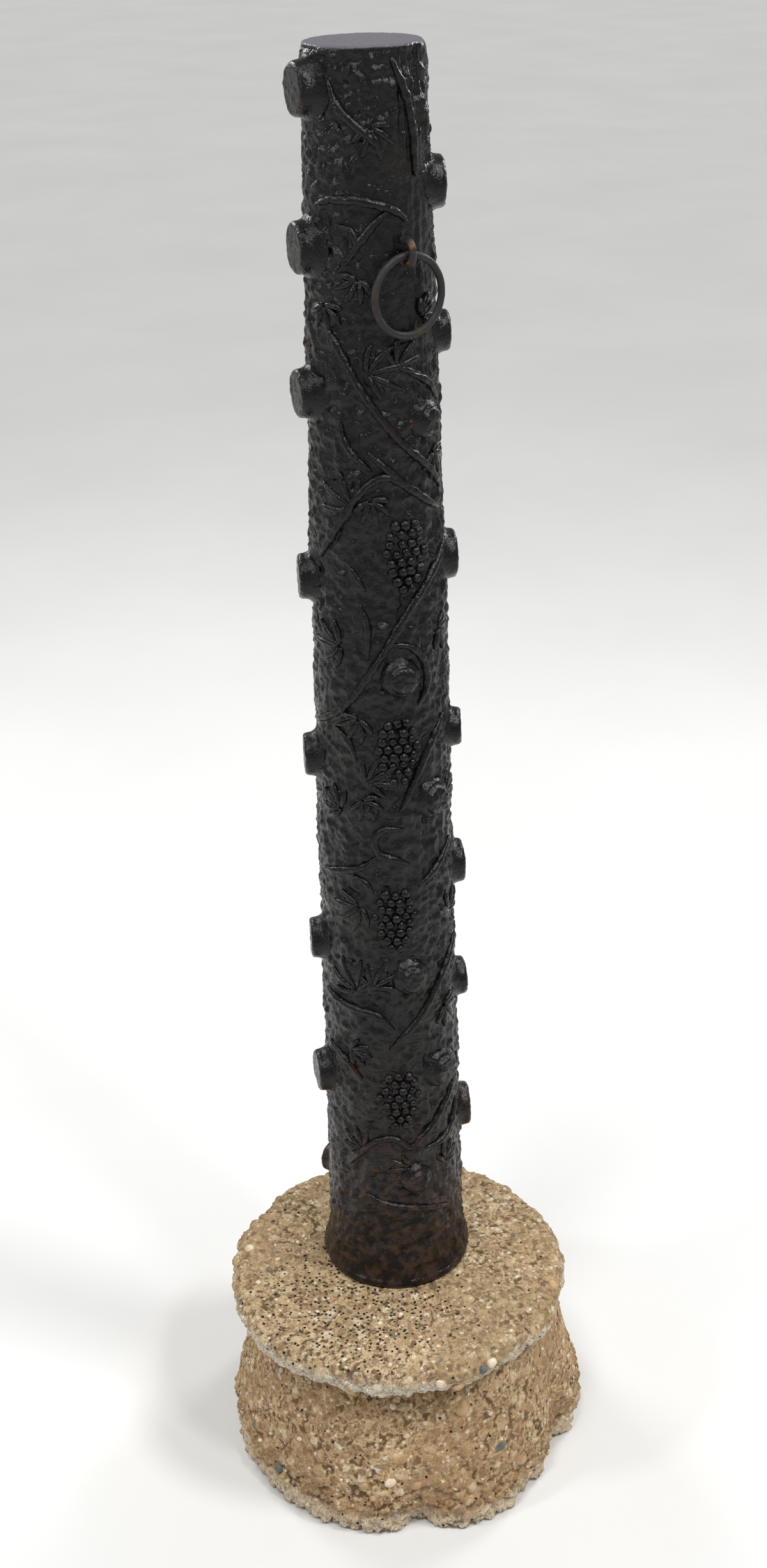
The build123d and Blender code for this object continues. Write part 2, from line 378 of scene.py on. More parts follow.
def sawn_top(azimuths):
    """Rings from the trunk's rounded top edge in to the middle of its flat sawn end."""
    rings = []
    edge = [(TOP_RADIUS - 0.0006, 0.0018), (TOP_RADIUS - 0.0016, 0.0008), (TOP_RADIUS - 0.003, 0.0004)]
    face = [(radius, 0.0005) for radius in np.linspace(TOP_RADIUS - 0.005, 0.001, 34)]
    for radius, drop in edge + face:
        ring = around(np.radians(azimuths), radius, POST_TOP - drop)
        ring[:, 2] -= 0.0004 * np.abs(noise_at(ring, 130, 8))
        ring[:, 2] -= 0.0003 * np.abs(noise_at(ring, 420, 9))
        rings.append(ring)
    return np.concatenate(rings)


def root_rings(azimuths):
    """Rings of the plain root inside the concrete, from its bottom to under the lip."""
    profile = ((ROOT_RADIUS, ROOT_BOTTOM), (ROOT_RADIUS, SLAB_TOP), (LIP_RADIUS - 0.002, SLAB_TOP))
    return np.concatenate([around(np.radians(azimuths), radius, level) for radius, level in profile])


def knot_profile(radius):
    """A healed knot: a broad low mound with a small blunt knob on it. Its edge is in millimetres past the
    radius and out of the bark."""
    edge = (
        (4.0, -2.0), (1.5, 1.5), (0, 4.2), (-1.5, 5.6), (-3.0, 6.0), (-4.0, 7.2), (-4.6, 9.2), (-5.8, 10.6),
        (-7.6, 11.2),
    )
    profile = [(radius + past * MM, rise * MM) for past, rise in edge]
    return profile + [(radius * share, 0.0113) for share in (0.38, 0.30, 0.22, 0.12, 0.03)]


def sawn_profile(radius):
    """A sawn stub: a flared neck that rises to a flat face with a worn rim, its edge given like a knot's."""
    edge = (
        (6.0, -1.6), (3.6, 0.6), (1.8, 2.2), (0.7, 4.5), (0.2, 7.0), (0, 8.8), (-0.6, 10.4), (-2.0, 11.5),
        (-3.8, 11.8),
    )
    profile = [(radius + past * MM, rise * MM) for past, rise in edge]
    face = (0.72, 0.62, 0.52, 0.42, 0.32, 0.22, 0.12, 0.03)
    return profile + [(radius * share, STUB_REACH) for share in face]


def stub(azimuth, height, radius, seed):
    """A branch stub that rises out of the bark: sawn flat at the sides, a blunt knot down the front."""
    knot = abs(azimuth) < KNOT_SIDE
    profile = knot_profile(radius) if knot else sawn_profile(radius)
    turn = np.arange(STUB_COLUMNS) * 2 * math.pi / STUB_COLUMNS
    bark = float(bark_radius(height))
    facing = math.radians(azimuth)
    outward = around(facing, 1.0, 0.0)
    side = around(facing + math.pi / 2, 1.0, 0.0)
    wobble = 1 + 0.05 * noise_round(turn, 1.3, seed * 3.7)
    rings = []
    for reach_radius, rise in profile:
        across = reach_radius * wobble * np.cos(turn)
        up = reach_radius * wobble * np.sin(turn)
        share = np.clip(rise / STUB_REACH, 0, 1)
        level = bark_radius(height + up)
        start = np.sqrt(np.maximum(level**2 - across**2, 1e-6))
        along = start + min(rise, 0) + share * (bark + STUB_REACH - start)
        ring = outward * along[:, None] + side * across[:, None]
        ring[:, 2] += SLAB_TOP + height + up
        rings.append(ring)
    points = np.concatenate(rings)
    wear = 3.2 if knot else 1.4
    worn = 0.0005 * noise_at(points, 170, seed) + 0.0003 * noise_at(points, 380, seed + 1)
    points += outward * (wear * worn - 0.0005)[:, None]
    faces = grid_faces(len(profile), STUB_COLUMNS)
    faces.append(tuple(range(len(points) - STUB_COLUMNS, len(points))))
    return points, faces


def smooth_run(points, step):
    """A Catmull-Rom run through the points, with places about one step apart."""
    points = np.asarray(points, float)
    padded = np.concatenate([[2 * points[0] - points[1]], points, [2 * points[-1] - points[-2]]])
    places = []
    for first, second, third, fourth in zip(padded, padded[1:], padded[2:], padded[3:]):
        count = max(2, int(np.linalg.norm(third - second) / step))
        for share in np.arange(count) / count:
            bend = (2 * first - 5 * second + 4 * third - fourth) * share**2
            twist = (3 * second - first - 3 * third + fourth) * share**3
            places.append(0.5 * (2 * second + (third - first) * share + bend + twist))
    places.append(points[-1])
    return np.array(places)


def tube(line, radii, sides, seed, roughness):
    """A tube along a line, its surface roughened by noise, and closed at both ends."""
    ahead = np.gradient(line, axis=0)
    ahead /= np.linalg.norm(ahead, axis=1)[:, None]
    up = np.cross(ahead, (0.13, 0.21, 0.97))
    up /= np.linalg.norm(up, axis=1)[:, None]
    side = np.cross(ahead, up)
    turn = np.arange(sides) * 2 * math.pi / sides
    ring = up[:, None] * np.cos(turn)[None, :, None] + side[:, None] * np.sin(turn)[None, :, None]
    points = (line[:, None] + ring * np.asarray(radii)[:, None, None]).reshape(-1, 3)
    normals = ring.reshape(-1, 3)
    points = points + normals * (roughness * noise_at(points, 230, seed))[:, None]
    return points, grid_faces(len(line), sides) + end_faces(len(points), sides)


def shoot_line(places):
    """The line of a shoot along the bark, through (azimuth, height in millimetres) places."""
    azimuth, height = np.array(places).T
    height = height * MM
    run = smooth_run(np.stack([np.radians(azimuth) * bark_radius(height), height], axis=-1), 0.0025)
    azimuth = np.degrees(run[:, 0] / bark_radius(run[:, 1]))
    return on_bark(azimuth, run[:, 1], SHOOT_LIFT)


def shoot_lines():
    """Each shoot's line and seed, front and back."""
    for number, places in enumerate(VINES):
        both = [list(front_and_back([place])) for place in places]
        for side, run in enumerate(zip(*both)):
            yield shoot_line(run), number + 40 * side


def shoot(line, seed):
    """A grapevine shoot half sunk in the bark, thin at both ends, with a knot now and then."""
    along = np.linspace(0, 1, len(line))
    length = np.linalg.norm(np.diff(line, axis=0), axis=1).sum()
    ends = np.clip(np.minimum(along, 1 - along) * length / 0.022, 0, 1) ** 0.6
    knots = 0.0006 * np.cos(along * length / 0.026 * 2 * math.pi + seed) ** 8
    radii = 0.0006 + (SHOOT_RADIUS - 0.0006) * ends + knots * ends
    return tube(line, radii, 12, seed, 0.0009)


def finger_lines():
    """Each leaf finger's line and seed: bent ridges that fan out from the leaf's stalk, front and back."""
    along = np.linspace(0, 1, FINGER_POINTS)
    for number, (azimuth, height, size, tip) in enumerate(LEAVES):
        points_to = math.radians(tip)
        stalk = LEAF_STALK * size * MM
        for side, (spot, level) in enumerate(front_and_back([(azimuth, height)])):
            for finger in range(FINGERS):
                share = finger / (FINGERS - 1) - 0.5
                heading = points_to + share * FINGER_FAN + FINGER_BEND * (along - 0.4) * (0.35 - share)
                reach = size * MM * (1.45 - 1.5 * share**2) / FINGER_POINTS
                across = np.cumsum(np.sin(heading)) * reach - stalk * math.sin(points_to)
                up = np.cumsum(np.cos(heading)) * reach - stalk * math.cos(points_to)
                row = level * MM + up
                line = on_bark(spot + np.degrees(across / bark_radius(row)), row, FINGER_LIFT)
                yield line, number * 7 + finger + 60 * side


def leaf_finger(line, seed):
    """One raised finger of a leaf, plumpest past its middle."""
    along = np.linspace(0, 1, len(line))
    plump = np.sin(math.pi * (0.10 + 0.82 * along)) ** 0.8
    return tube(line, 0.0004 + FINGER_RADIUS * plump, 10, seed, 0.0007)


def leaf(azimuth, height, size, tip, seed):
    """The blade of a vine leaf lying on the bark: five lobes with a soft crown, under its raised fingers."""
    columns, rows = 90, 10
    turn = np.arange(columns) * 2 * math.pi / columns
    stalk_cut = 0.28 * smoothstep(0.90, 1.0, -np.cos(turn))
    lobes = 0.62 + 0.22 * np.abs(np.cos(2.5 * turn)) ** 0.7 + 0.05 * np.cos(11 * turn) - stalk_cut
    shares = np.linspace(0, 1, rows)
    share, angle = np.meshgrid(shares, turn, indexing="ij")
    reach = size * MM * share * lobes[None, :]
    swing = angle + math.radians(tip)
    across = reach * np.sin(swing)
    up = reach * np.cos(swing)
    crown = LEAF_RISE * (1 - 0.45 * share**2) - 0.0022 * share**10
    level = height * MM + up
    spot = azimuth + np.degrees(across / bark_radius(level))
    points = on_bark(spot.ravel(), level.ravel(), crown.ravel())
    points = points + 0.0004 * noise_at(points, 240, seed)[:, None]
    return points, grid_faces(rows, columns)


def ball(centre, radius, seed):
    """A slightly uneven ball."""
    columns, rows = 14, 10
    tilt = np.linspace(0.02, math.pi - 0.02, rows)
    turn = np.arange(columns) * 2 * math.pi / columns
    down, turned = np.meshgrid(tilt, turn, indexing="ij")
    points = np.stack([np.sin(down) * np.cos(turned), np.sin(down) * np.sin(turned), -np.cos(down)], axis=-1)
    points = points.reshape(-1, 3)
    points = points * radius * (1 + 0.12 * noise_at(points, 1.5, seed))[:, None] + centre
    return points, grid_faces(rows, columns) + end_faces(len(points), columns)


def grape_places():
    """The middle of each grape, front and back: bunches that narrow downwards, a little untidy."""
    dice = random.Random(17)
    places = []
    for azimuth, height in front_and_back(CLUSTERS):
        for row, count in enumerate(CLUSTER_ROWS):
            level = height * MM + ((len(CLUSTER_ROWS) - 1) / 2 - row) * GRAPE_PITCH * 0.90
            for place in range(count):
                across = (place - (count - 1) / 2) * GRAPE_PITCH + dice.uniform(-0.0011, 0.0011)
                middle = 1 - abs(place - (count - 1) / 2) / 3
                spot = azimuth + math.degrees(across / float(bark_radius(level)))
                sunk = -0.0013 + 0.0016 * middle + dice.uniform(-0.0005, 0.0004)
                places.append(on_bark(spot, level + dice.uniform(-0.0010, 0.0010), sunk))
    return places


def trunk_bark():
    """The bark and its stubs, as one piece that stands for the casting."""
    parts = [trunk_skin()]
    for number, (azimuth, share, radius) in enumerate(STUBS):
        parts.append(stub(azimuth, share * TRUNK_HEIGHT, radius, number + 1))
    piece = mesh_object("trunk_bark", *join_parts(parts))
    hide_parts("post_casting")
    return piece


def front_and_back(places):
    """Decoration on the front, and again round the back."""
    for azimuth, height in places:
        yield azimuth, height
        yield azimuth + BACK_TURN, height + BACK_LIFT


def trunk_vines():
    """All the vine shoots, front and back."""
    return mesh_object("trunk_vines", *join_parts([shoot(line, seed) for line, seed in shoot_lines()]))


def trunk_leaves():
    """All the leaves, front and back: blades, and the raised fingers on them."""
    parts = []
    for number, (azimuth, height, size, tip) in enumerate(LEAVES):
        for side, (spot, level) in enumerate(front_and_back([(azimuth, height)])):
            parts.append(leaf(spot, level, size, tip, number + 60 * side))
    parts += [leaf_finger(line, seed) for line, seed in finger_lines()]
    return mesh_object("trunk_leaves", *join_parts(parts))


def trunk_grapes():
    """All the grapes, front and back."""
    dice = random.Random(23)
    grapes = []
    for number, centre in enumerate(grape_places()):
        grapes.append(ball(centre, GRAPE_RADIUS * dice.uniform(0.85, 1.08), 100 + number))
    return mesh_object("trunk_grapes", *join_parts(grapes))


def hitching_ring():
    """The forged ring: a round bar, a little uneven, thicker where its ends were welded."""
    low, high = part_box("hitching_ring")
    centre = np.array((low + high) / 2)
    bar = (high.y - low.y) / 2
    middle = (high.z - low.z) / 2 - bar
    columns, sides = 160, 20
    turn = np.arange(columns) * 2 * math.pi / columns
    round_bar = np.arange(sides) * 2 * math.pi / sides
    turned, along = np.meshgrid(turn, round_bar, indexing="ij")
    weld = WELD_RISE * hump(turned - WELD_TURN, WELD_WIDTH)
    flat = np.stack([np.sin(turned), np.zeros_like(turned), np.cos(turned)], axis=-1)
    normals = flat * np.cos(along)[..., None] - np.array((0, 1.0, 0)) * np.sin(along)[..., None]
    points = centre + flat * middle + normals * (bar - 0.00022 + weld)[..., None]
    points = points.reshape(-1, 3)
    rough = 0.00022 * noise_at(points, 150, 5) + 0.0001 * noise_at(points, 700, 6)
    points = points + normals.reshape(-1, 3) * np.minimum(rough, 0.0001)[:, None]
    piece = mesh_object("forged_ring", points, grid_faces(columns, sides, closed=True))
    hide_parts("hitching_ring")
    return piece


def hitching_staple():
    """The staple's bent bar: its eye outside, its legs through the wall and its ends bent apart inside."""
    low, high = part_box("hitching_staple")
    bar = (high.x - low.x) / 2
    front = low.y + bar
    back = high.y - bar
    middle = (low.z + high.z) / 2
    leg = STAPLE_LEG_SPACING / 2
    corner = STAPLE_CORNER_RADIUS
    straight = front - back + 2 * corner
    bends = [(corner * (1 - math.cos(turn)), corner * (1 - math.sin(turn))) for turn in CORNER_TURNS]
    line = []
    for sign, order in ((-1, 1), (1, -1)):
        half = [(back, sign * (high.z - middle))]
        half += [(back - along, sign * (leg + across)) for along, across in bends]
        half += [(back - corner + straight * share, sign * leg) for share in np.linspace(0.04, 0.96, 12)]
        half += [(front + across, sign * (leg - along)) for along, across in bends]
        line += half[::order]
    line = np.array([(0, y, middle + z) for y, z in line])
    radii = np.full(len(line), bar - 0.0002)
    points, faces = tube(line, radii, 22, 12, 0.00035)
    piece = mesh_object("forged_staple", points, faces)
    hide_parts("hitching_staple")
    return piece


def broken_outline(turn, seed, depth):
    """How far in an outline lies at each turn: broad waves and smaller bites."""
    bites = np.minimum(noise_round(turn, 6, seed + 9), 0.25)
    return depth * (0.5 + 0.9 * noise_round(turn, 1.6, seed) + 0.6 * bites)


def pour(name, centre, profile, carve, roughness, seed):
    """A rough round pour of concrete: rings along a profile of (radius, height), carved in and then eaten
    away between its stones. Its points carry their hollowness and their stone's tint, for the material, which
    paints shade into the hollows."""
    ahead = np.gradient(profile, axis=0)
    ahead /= np.linalg.norm(ahead, axis=1)[:, None]
    angles = np.arange(POUR_COLUMNS) * 2 * math.pi / POUR_COLUMNS
    turn, radius = np.meshgrid(angles, profile[:, 0])
    level = np.meshgrid(angles, profile[:, 1])[1]
    points = around(turn, radius - carve(turn, radius, level), level).reshape(-1, 3) + (*centre, 0)
    normals = around(turn, ahead[:, 1:], -ahead[:, :1]).reshape(-1, 3)
    big, big_tint = pebbly_at(points, BIG_STONES, seed)
    small, small_tint = pebbly_at(points, SMALL_STONES, seed + 1)
    hollows = 0.9 * np.abs(noise_at(points, 30, seed + 2)) + 0.35 * np.abs(noise_at(points, 300, seed + 3))
    between = 0.55 * (1 - big) + 0.35 * (1 - small)
    points = points - normals * (roughness(points) * (between + hollows - 0.42))[:, None]
    points = np.clip(points, INNER_LOW, INNER_HIGH)
    faces = grid_faces(len(profile), POUR_COLUMNS) + end_faces(len(points), POUR_COLUMNS)
    piece = mesh_object(name, points, faces)
    tint = np.where(big > 0.45, big_tint, small_tint)
    for title, values in (("hollow", between), ("tint", tint)):
        carried = piece.data.attributes.new(title, "FLOAT", "POINT")
        carried.data.foreach_set("value", values.astype(np.float32))
    return piece


def footing_slab():
    """The upper pour: a flat pitted top and a broken edge that hangs over the lower pour."""
    low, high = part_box("footing_slab")
    centre = ((low.x + high.x) / 2, (low.y + high.y) / 2)
    rim = (high.x - low.x) / 2
    corners = [(0.030, high.z), (0.080, high.z), (0.130, high.z), (rim - 0.016, high.z)]
    corners += [(rim - 0.006, high.z - 0.003), (rim, high.z - 0.012), (rim - 0.002, low.z + 0.014)]
    corners += [(rim - 0.010, low.z + 0.004), (rim - 0.026, low.z + 0.001), (0.110, low.z + 0.001)]
    profile = smooth_run(corners + [(0.050, low.z + 0.001)], SLAB_STEP)[::-1]

    def carve(turn, radius, level):
        """How far in the surface lies."""
        outer = smoothstep(0.100, rim - 0.004, radius)
        lip = 1 - smoothstep(low.z + 0.004, high.z - 0.010, level)
        facets = 0.5 + 0.5 * np.cos(SLAB_FACETS * (turn[0] - 0.9) + 1.4 * np.sin(2 * turn[0]))
        broken = broken_outline(turn[0], 4.0, 0.0025) + 0.0030 * facets
        return outer * (broken + lip * 0.005 * np.abs(noise_round(turn[0], 15, 2.5)))

    def roughness(points):
        """How deep it is eaten away between stones."""
        away = np.hypot(points[:, 0] - centre[0], points[:, 1] - centre[1])
        return 0.0019 + 0.0030 * smoothstep(rim - 0.024, rim - 0.008, away)

    piece = pour("slab_concrete", centre, profile, carve, roughness, 21)
    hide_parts("footing_slab")
    return piece


def footing_lump():
    """The lower pour: a crumbly mass, wider at the ground, with a notch in front between two lobes."""
    low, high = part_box("footing_lump")
    centre = ((low.x + high.x) / 2, (low.y + high.y) / 2)
    belly = (high.x - low.x) / 2
    corners = [(0.050, high.z), (0.110, high.z), (0.148, high.z - 0.001), (0.157, high.z - 0.014)]
    corners += [(0.168, high.z - 0.050), (0.181, 0.085), (belly - 0.006, 0.052), (belly - 0.003, 0.030)]
    corners += [(belly - 0.005, 0.010), (belly - 0.012, 0.0012), (0.120, 0.0008), (0.050, 0.0008)]
    profile = smooth_run(corners, LUMP_STEP)[::-1]

    def carve(turn, radius, level):
        """How far in the surface lies."""
        outer = smoothstep(0.060, 0.150, radius)
        foot = 1 - smoothstep(0.0, 0.085, level)
        notch = NOTCH_DEPTH * foot * hump(turn - NOTCH_TURN, 0.125)
        waist = WAIST_DEPTH * (1 - smoothstep(0.06, 0.13, level)) * hump(turn - WAIST_TURN, 0.14)
        step = STEP_DEPTH * foot * smoothstep(0.06, 0.12, turn) * (1 - smoothstep(0.45, 0.8, turn))
        fading = np.clip(1 - np.abs(level - CREASE_LEVEL) / CREASE_LEVEL, 0, 1)
        crease = CREASE_DEPTH * fading * hump(turn - CREASE_TURN - 2.2 * (CREASE_LEVEL - level), 0.030)
        return outer * (notch + waist + step + crease + broken_outline(turn[0], 7.0, 0.004))

    def roughness(points):
        """How deep it is eaten away between stones."""
        foot = 1 - smoothstep(0.025, 0.095, points[:, 2])
        neck = smoothstep(0.150, 0.178, points[:, 2])
        return 0.0021 + 0.0066 * foot + 0.0030 * neck

    piece = pour("lump_concrete", centre, profile, carve, roughness, 31)
    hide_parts("footing_lump")
    return piece


def pebbles(name, count, sizes, seed, hosts, placed):
    """Pebbles bedded in the footing's surface: squashed balls sunk most of the way in, anywhere or, for the
    placed ones, near their own spot."""
    dice = random.Random(seed)
    parts = []
    spots = [(dice.choice(hosts), None, dice.uniform(*sizes)) for _ in range(count)]
    for near, size in placed:
        host = hosts[0] if near[2] > SLAB_BOTTOM else hosts[1]
        spots.append((host, near, PLACED_SHARE * size))
    for number, (host, near, size) in enumerate(spots):
        mesh = host.data
        if near is None:
            face = mesh.polygons[dice.randrange(len(mesh.polygons))]
            while hidden_face(face):
                face = mesh.polygons[dice.randrange(len(mesh.polygons))]
            place, normal = np.array(face.center), np.array(face.normal)
        else:
            where, facing = host.closest_point_on_mesh(near)[1:3]
            place, normal = np.array(where), np.array(facing)
        points, faces = ball(np.zeros(3), size, seed + number)
        squash = np.diag((dice.uniform(0.75, 1.25), dice.uniform(0.75, 1.25), dice.uniform(0.55, 0.8)))
        turned = points @ squash @ np.array(Matrix.Rotation(dice.uniform(0, 6.28), 3, "Z")).T
        aim = np.array(aimed(normal))
        bedded = turned @ aim.T + place - normal * size * dice.uniform(0.30, 0.62)
        parts.append((np.clip(bedded, INNER_LOW, INNER_HIGH), faces))
    return mesh_object(name, *join_parts(parts))


def hidden_face(face):
    """True where a pebble would be out of sight or would stand out of the footing's box."""
    spot = face.center
    under_slab = spot.z > SLAB_BOTTOM - 0.030 and spot.z < SLAB_BOTTOM + 0.002
    return spot.z < 0.012 or under_slab or math.hypot(spot.x, spot.y) < LIP_RADIUS + 0.008


def aimed(normal):
    """A rotation that turns +Z to the normal."""
    from_up = np.array((0.0, 0.0, 1.0))
    axis = np.cross(from_up, normal)
    angle = math.atan2(np.linalg.norm(axis), float(np.dot(from_up, normal)))
    if np.linalg.norm(axis) < 1e-6:
        axis = np.array((1.0, 0.0, 0.0))
    return Matrix.Rotation(angle, 3, axis.tolist())


# Materials

GRIT_COLOURS = (
    (0.0, (0.15, 0.080, 0.036)), (0.25, (0.36, 0.22, 0.10)), (0.50, (0.56, 0.40, 0.22)),
    (0.75, (0.72, 0.57, 0.35)), (0.95, (0.88, 0.79, 0.61)),
)
STONE_COLOURS = (
    (0.0, (0.34, 0.20, 0.10)), (0.35, (0.60, 0.40, 0.18)), (0.60, (0.66, 0.50, 0.32)),
    (0.85, (0.82, 0.74, 0.58)), (0.93, (0.17, 0.18, 0.17)),
)


# Concrete's tints: its sand's painted shadow, its paste from muddy to clean, its chalky edge and the painted
# shade in its crevices
UPPER_TINTS = (
    (0.21, 0.135, 0.07), (0.49, 0.35, 0.195), (0.70, 0.54, 0.335), (0.90, 0.84, 0.71), (0.15, 0.092, 0.048),
)
LOWER_TINTS = (
    (0.22, 0.135, 0.066), (0.52, 0.335, 0.18), (0.74, 0.52, 0.30), (0.88, 0.76, 0.58), (0.16, 0.096, 0.048),
)
FILL_TINTS = (
    (0.16, 0.11, 0.07), (0.33, 0.25, 0.17), (0.46, 0.37, 0.27), (0.60, 0.55, 0.46), (0.14, 0.10, 0.06),
)
RING_RUST = ((0.014, 0.010, 0.009), (0.036, 0.020, 0.014), (0.085, 0.043, 0.026))
STAPLE_RUST = ((0.045, 0.018, 0.010), (0.13, 0.052, 0.024), (0.29, 0.13, 0.06))
BAR_RUST = ((0.08, 0.03, 0.015), (0.20, 0.08, 0.03), (0.30, 0.14, 0.06))


class Nodes:
    """A new node material, and short ways to add to it."""

    def __init__(self, name):
        self.material = bpy.data.materials.new(name)
        self.material.use_nodes = True
        self.tree = self.material.node_tree
        self.shader = next(one for one in self.tree.nodes if one.type == "BSDF_PRINCIPLED")
        self.place = self.add("ShaderNodeTexCoord").outputs["Object"]
        self.normal = None

    def add(self, kind, **settings):
        """A new node with its settings."""
        made = self.tree.nodes.new(kind)
        for key, value in settings.items():
            setattr(made, key, value)
        return made

    def feed(self, socket, value):
        """Gives a socket a number, a colour or another node's output."""
        if isinstance(value, tuple):
            socket.default_value = (*value, 1)
        elif isinstance(value, (int, float)):
            socket.default_value = value
        else:
            self.tree.links.new(value, socket)

    def surface(self, name, value):
        """Feeds one of the shader's inputs."""
        self.feed(self.shader.inputs[name], value)

    def split(self, kind, source):
        """The outputs of a node that splits a vector or a colour."""
        made = self.add(kind)
        self.feed(made.inputs[0], source)
        return made.outputs

    def ramp(self, source, stops):
        """A colour ramp fed by source; stops are (place, colour)."""
        made = self.add("ShaderNodeValToRGB")
        elements = made.color_ramp.elements
        for element, (place, colour) in zip(elements, (stops[0], stops[-1])):
            element.position = place
            element.color = (*colour, 1)
        for place, colour in stops[1:-1]:
            elements.new(place).color = (*colour, 1)
        self.feed(made.inputs["Fac"], source)
        return made.outputs["Color"]

    def mask(self, source, low, high):
        """0 to 1 as source goes from low to high."""
        made = self.add("ShaderNodeMapRange", interpolation_type="SMOOTHSTEP")
        for name, value in (("Value", source), ("From Min", low), ("From Max", high)):
            self.feed(made.inputs[name], value)
        return made.outputs["Result"]

    def mix(self, factor, first, second):
        """A mix of two colours."""
        made = self.add("ShaderNodeMix", data_type="RGBA")
        for index, value in ((0, factor), (6, first), (7, second)):
            self.feed(made.inputs[index], value)
        return made.outputs[2]

    def maths(self, operation, first, second):
        """A sum, a comparison or another operation on two values."""
        made = self.add("ShaderNodeMath", operation=operation)
        self.feed(made.inputs[0], first)
        self.feed(made.inputs[1], second)
        return made.outputs[0]

    def times(self, first, second):
        """A product."""
        return self.maths("MULTIPLY", first, second)

    def noise(self, scale, detail=4.0, roughness=0.55):
        """A noise texture's value."""
        made = self.add("ShaderNodeTexNoise")
        values = (("Vector", self.place), ("Scale", scale), ("Detail", detail), ("Roughness", roughness))
        for name, value in values:
            self.feed(made.inputs[name], value)
        return made.outputs["Fac"]

    def cells(self, scale):
        """A Voronoi texture's outputs."""
        made = self.add("ShaderNodeTexVoronoi")
        self.feed(made.inputs["Vector"], self.place)
        self.feed(made.inputs["Scale"], scale)
        return made.outputs

    def carried(self, name):
        """A value that the piece's own points carry."""
        return self.add("ShaderNodeAttribute", attribute_name=name).outputs["Fac"]

    def bump(self, height, strength, distance):
        """Bump on the shader, over any bump made before it."""
        made = self.add("ShaderNodeBump")
        for name, value in (("Height", height), ("Strength", strength), ("Distance", distance)):
            self.feed(made.inputs[name], value)
        if self.normal is not None:
            self.feed(made.inputs["Normal"], self.normal)
        self.normal = made.outputs["Normal"]
        self.surface("Normal", self.normal)


def iron_paint():
    """Old black paint on rough cast iron, with dark red stains, a brown foot and rust spots; the sawn top is
    painted pale purple-grey as a painted reflection.
    """
    nodes = Nodes("black_paint_on_iron")
    broad = nodes.noise(9, 3)
    middle = nodes.noise(75, 5, 0.6)
    fine = nodes.noise(330, 4, 0.65)
    stains = nodes.noise(24, 6, 0.68)
    spots = nodes.noise(48, 3, 0.6)
    pits = nodes.cells(260)["Distance"]
    height = nodes.split("ShaderNodeSeparateXYZ", nodes.place)["Z"]
    low_down = nodes.mask(height, SLAB_TOP + 0.34, SLAB_TOP - 0.02)
    # The sawn top's mask, for its painted reflection
    sawn = nodes.mask(height, POST_TOP - 0.0035, POST_TOP - 0.0012)
    paint = nodes.ramp(middle, [(0.30, (0.0022, 0.0020, 0.0024)), (0.62, (0.0064, 0.0058, 0.0060))])
    dusty = nodes.mix(nodes.mask(broad, 0.55, 0.80), paint, (0.010, 0.009, 0.007))
    brown_here = nodes.times(low_down, nodes.mask(middle, 0.42, 0.60))
    browned = nodes.mix(brown_here, dusty, (0.040, 0.021, 0.014))
    stained = nodes.mix(nodes.mask(stains, 0.64, 0.74), browned, (0.028, 0.007, 0.005))
    rusted = nodes.mix(nodes.mask(spots, 0.75, 0.80), stained, (0.16, 0.060, 0.026))
    # Painted reflection: the sawn top is painted pale purple-grey
    nodes.surface("Base Color", nodes.mix(sawn, rusted, (0.135, 0.122, 0.150)))
    nodes.surface("Roughness", nodes.ramp(fine, [(0.36, (0.15, 0.15, 0.15)), (0.66, (0.33, 0.33, 0.33))]))
    nodes.surface("Specular IOR Level", 0.30)
    nodes.bump(fine, 0.6, 0.0009)
    nodes.bump(middle, 0.7, 0.0022)
    nodes.bump(nodes.mask(pits, 0.0, 0.5), 0.4, 0.0006)
    return nodes.material


def rusty_iron(name, colours, cover):
    """Bare or thinly painted iron under rust; cover is how much rust shows through the black."""
    nodes = Nodes(name)
    broad = nodes.noise(70, 4)
    fine = nodes.noise(600, 5, 0.7)
    rust = nodes.ramp(fine, list(zip((0.30, 0.52, 0.75), colours)))
    shown = nodes.mask(broad, 0.80 - cover, 0.95 - cover)
    nodes.surface("Base Color", nodes.mix(shown, (0.010, 0.0085, 0.0085), rust))
    nodes.surface("Roughness", nodes.ramp(broad, [(0.35, (0.42, 0.42, 0.42)), (0.65, (0.80, 0.80, 0.80))]))
    nodes.bump(fine, 0.7, 0.0006)
    return nodes.material


def stones_in(nodes, scale, colours, under, share, spread):
    """Stones of one size bedded in what lies under, each with its own colour; share is how many show."""
    bed = nodes.cells(scale)
    numbers = nodes.split("ShaderNodeSeparateColor", bed["Color"])
    own = nodes.ramp(numbers["Red"], colours)
    inside = nodes.mask(bed["Distance"], spread + 0.07, spread - 0.07)
    shown = nodes.times(inside, nodes.mask(numbers["Green"], 0.98 - share, 1.02 - share))
    return nodes.mix(shown, under, own), shown


def pits_in(nodes, share, middle):
    """Where the small round pits are: a few anywhere, and up to share of all cells near the middle."""
    holes = nodes.cells(230)
    away = nodes.add("ShaderNodeVectorMath", operation="DISTANCE")
    nodes.feed(away.inputs[0], nodes.place)
    away.inputs[1].default_value = middle
    crowded = nodes.mask(away.outputs["Value"], 0.125, 0.050)
    wanted = nodes.maths("ADD", nodes.times(crowded, share), 0.02)
    green = nodes.split("ShaderNodeSeparateColor", holes["Color"])["Green"]
    return nodes.times(nodes.mask(holes["Distance"], 0.42, 0.27), nodes.maths("LESS_THAN", green, wanted))


